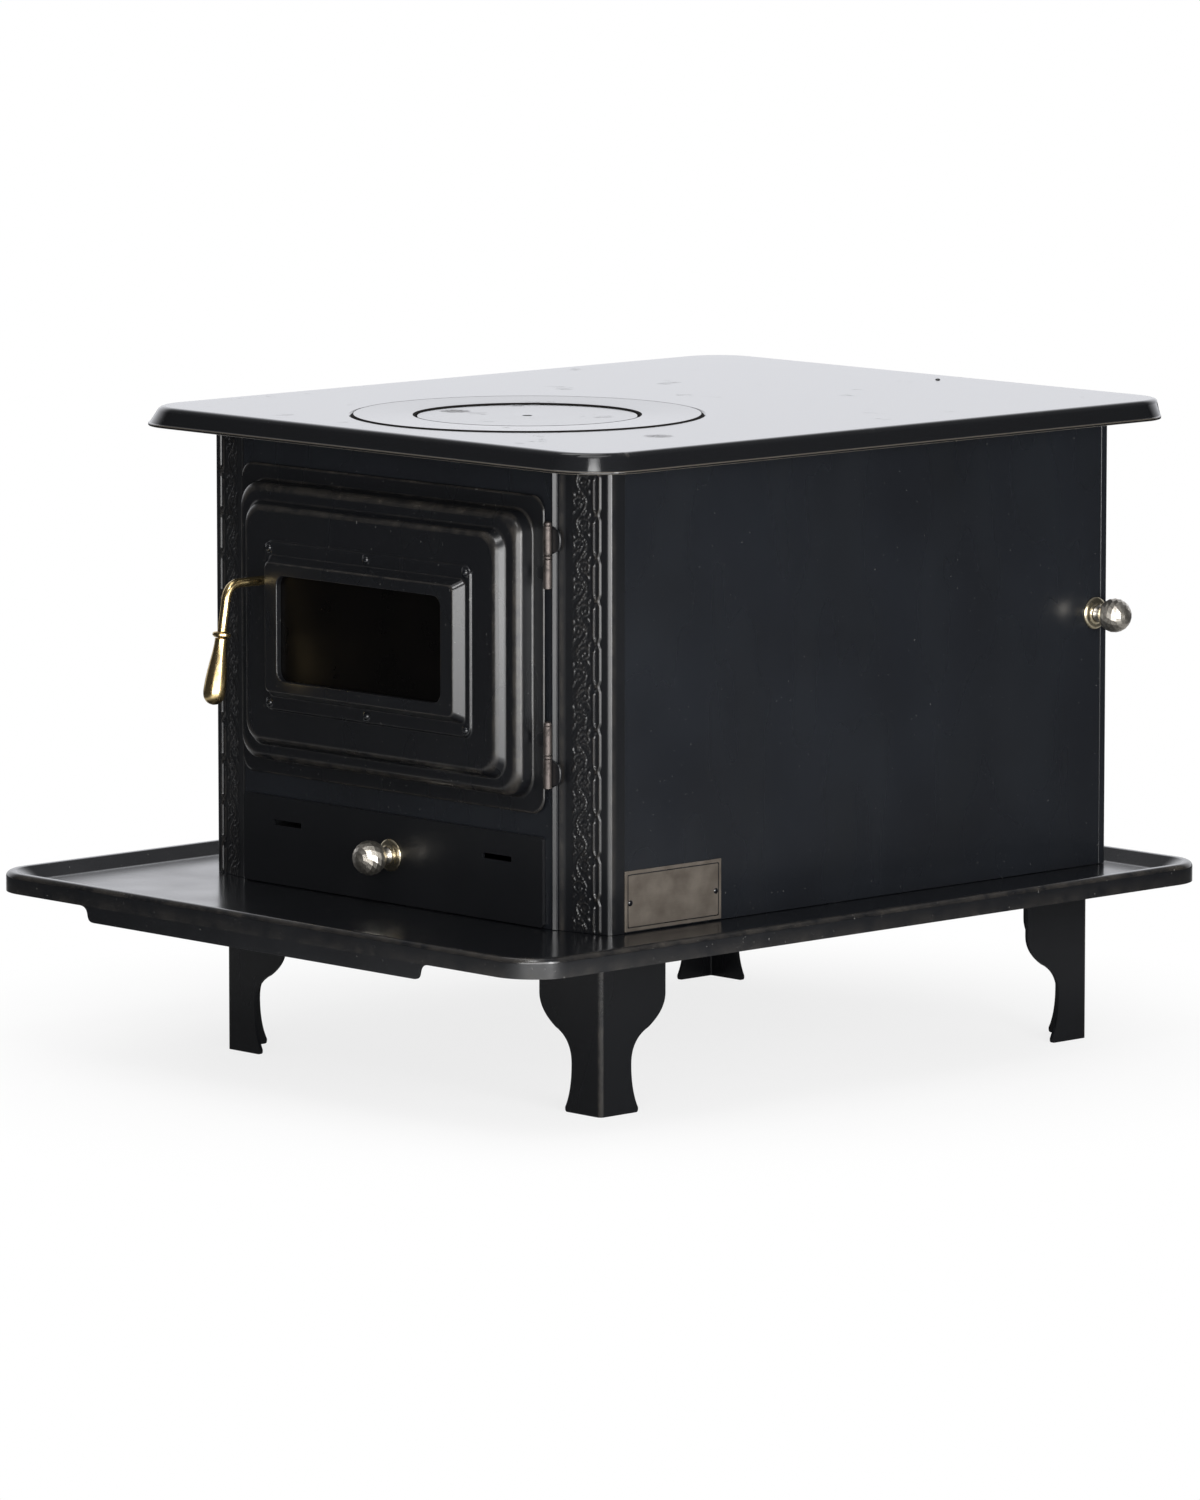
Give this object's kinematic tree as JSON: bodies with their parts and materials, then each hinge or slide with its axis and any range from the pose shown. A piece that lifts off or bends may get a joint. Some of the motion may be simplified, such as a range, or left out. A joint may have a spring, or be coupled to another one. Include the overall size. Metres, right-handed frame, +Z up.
{
  "type": "wood and coal cooking stove",
  "caption": "Low box-shaped steel solid-fuel stove with a flat cooking top and lift-out rings, glazed pressed door, ash drawer, flue damper and a wide hearth tray on short legs.",
  "frame": {"origin": "on the ground, under the middle of the whole stove's box", "axes": "+Z up, the door and drawer face -Y, the flue leaves along +Y, +X is on the right as one faces the door"},
  "size_m": [0.664, 0.812, 0.541],
  "materials": {
    "black_enamel": "satin black stove enamel with a blue-grey sheen",
    "cast_iron": "blackened cast iron",
    "zinc_steel": "plain zinc-plated steel",
    "brass": "polished brass, lightly worn",
    "antique_nickel": "antiqued nickel",
    "seal_rope": "woven glass-fibre rope",
    "fire_brick": "rough vermiculite fire brick",
    "window_glass": "smoked ceramic glass",
    "plate_metal": "dull taupe plate, bare"
  },
  "bodies": {
    "stove": {"hearth_tray": "black_enamel", "leg_front_left": "black_enamel", "leg_front_right": "black_enamel", "leg_rear_left": "black_enamel", "leg_rear_right": "black_enamel", "base_plate": "black_enamel", "column_left": "black_enamel", "column_right": "black_enamel", "front_panel": "black_enamel", "side_panel_left": "black_enamel", "side_panel_right": "black_enamel", "rear_panel": "black_enamel", "top_plate": "black_enamel", "firebox_shelf": "cast_iron", "grate": "cast_iron", "brick_left": "fire_brick", "brick_right": "fire_brick", "brick_rear": "fire_brick", "baffle": "cast_iron", "flue_collar": "black_enamel", "flue_flange": "black_enamel", "damper_rose": "brass", "drawer_runner_left": "zinc_steel", "drawer_runner_right": "zinc_steel", "hinge_body_upper": "black_enamel", "hinge_body_lower": "black_enamel", "hinge_washer_upper": "zinc_steel", "hinge_washer_lower": "zinc_steel", "hinge_pin_upper": "zinc_steel", "hinge_pin_lower": "zinc_steel", "name_plate": "plate_metal"},
    "door": {"door_skin": "black_enamel", "window_glass": "window_glass", "glass_seal": "seal_rope", "glass_retainer": "zinc_steel", "door_liner": "zinc_steel", "door_seal": "seal_rope", "hinge_door_upper": "black_enamel", "hinge_door_lower": "black_enamel"},
    "handle": {"handle_rod": "brass", "handle_collar": "brass", "handle_grip": "brass", "latch_cam": "zinc_steel"},
    "drawer": {"drawer_front": "black_enamel", "drawer_box": "zinc_steel", "drawer_rose": "brass", "drawer_knob": "antique_nickel"},
    "damper": {"damper_shaft": "zinc_steel", "damper_flap": "cast_iron", "damper_knob": "antique_nickel"},
    "ring": {"cooking_ring": "cast_iron"},
    "lid": {"centre_lid": "cast_iron"}
  },
  "joints": [
    {"name": "door_hinge", "type": "hinge", "parent": "stove", "child": "door", "pos_m": [0.1855, -0.2516, 0.37], "axis": [0, 0, 1], "range_deg": [0, 115]},
    {"name": "handle_turn", "type": "hinge", "parent": "door", "child": "handle", "pos_m": [-0.133, -0.26, 0.406], "axis": [0, 1, 0], "range_deg": [0, 90]},
    {"name": "drawer_slide", "type": "slide", "parent": "stove", "child": "drawer", "axis": [0, -1, 0], "range_m": [0, 0.12]},
    {"name": "damper_turn", "type": "hinge", "parent": "stove", "child": "damper", "pos_m": [0, 0.324, 0.362], "axis": [1, 0, 0], "range_deg": [0, 90]},
    {"name": "ring_lift", "type": "slide", "parent": "stove", "child": "ring", "axis": [0, 0, 1], "range_m": [0, 0.06]},
    {"name": "lid_lift", "type": "slide", "parent": "ring", "child": "lid", "axis": [0, 0, 1], "range_m": [0, 0.06]}
  ]
}
